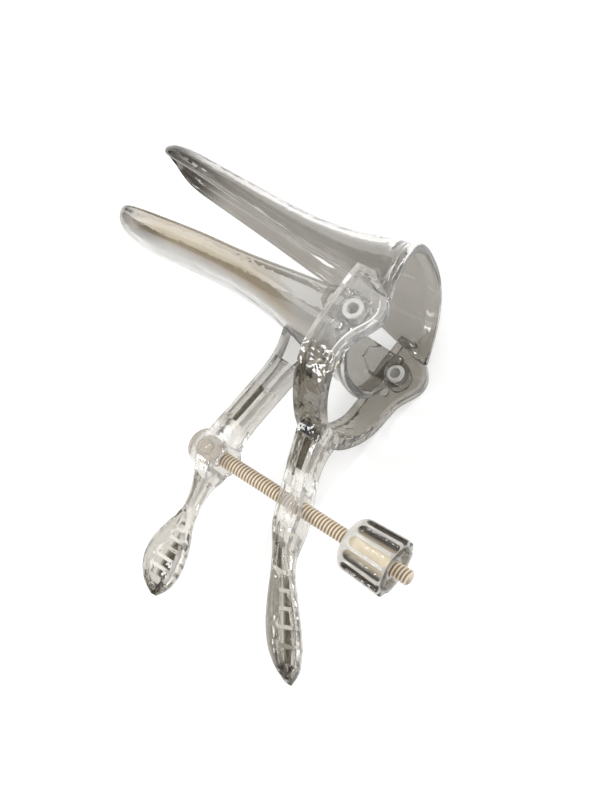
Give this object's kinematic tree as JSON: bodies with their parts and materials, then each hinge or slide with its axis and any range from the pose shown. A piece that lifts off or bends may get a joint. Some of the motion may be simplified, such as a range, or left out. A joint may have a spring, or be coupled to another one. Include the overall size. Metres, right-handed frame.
{
  "type": "bivalve speculum",
  "caption": "Two-bladed hinged speculum of clear plastic with a yoke, ribbed squeeze handles, and a threaded rod with a ribbed thumb nut that sets how far the blades open.",
  "frame": {"origin": "a point on the flat raised rim of the far yoke arm, the face it rests on when it lies on its side; the hinge axis stands 6.0 mm along +X and 6.9 mm along -Y from it and the mid-plane is at Z = 29 mm", "axes": "+Z along the hinge axis towards the yoke's near arm, +Y along the lower blade towards its tip, +X from the handles across the lower blade to the upper blade; handles point to -X and the mouth faces -Y"},
  "size_m": [0.1385, 0.1672, 0.058],
  "materials": {
    "clear_plastic": "clear, polished",
    "pin_plastic": "clear, polished",
    "ivory_plastic": "semi-gloss",
    "nut_plastic": "clear, polished"
  },
  "bodies": {
    "lower": {"lower_valve": "clear_plastic"},
    "upper": {"upper_valve": "clear_plastic", "hinge_pin_near": "pin_plastic", "hinge_pin_far": "pin_plastic"},
    "rod": {"threaded_rod": "ivory_plastic"},
    "nut": {"thumb_nut": "nut_plastic"}
  },
  "joints": [
    {"name": "blade_opening", "type": "hinge", "parent": "lower", "child": "upper", "pos_m": [0.006, -0.0069, 0.029], "axis": [0, 0, -1], "range_deg": [-11, 18]},
    {"name": "rod_swing", "type": "hinge", "parent": "lower", "child": "rod", "pos_m": [-0.0502, 0.0213, 0.029], "axis": [0, 0, 1], "range_deg": [-1.2, 1.2]},
    {"name": "nut_travel", "type": "slide", "parent": "rod", "child": "nut", "axis": [0, 1, 0], "range_m": [-0.008, 0.001]}
  ]
}
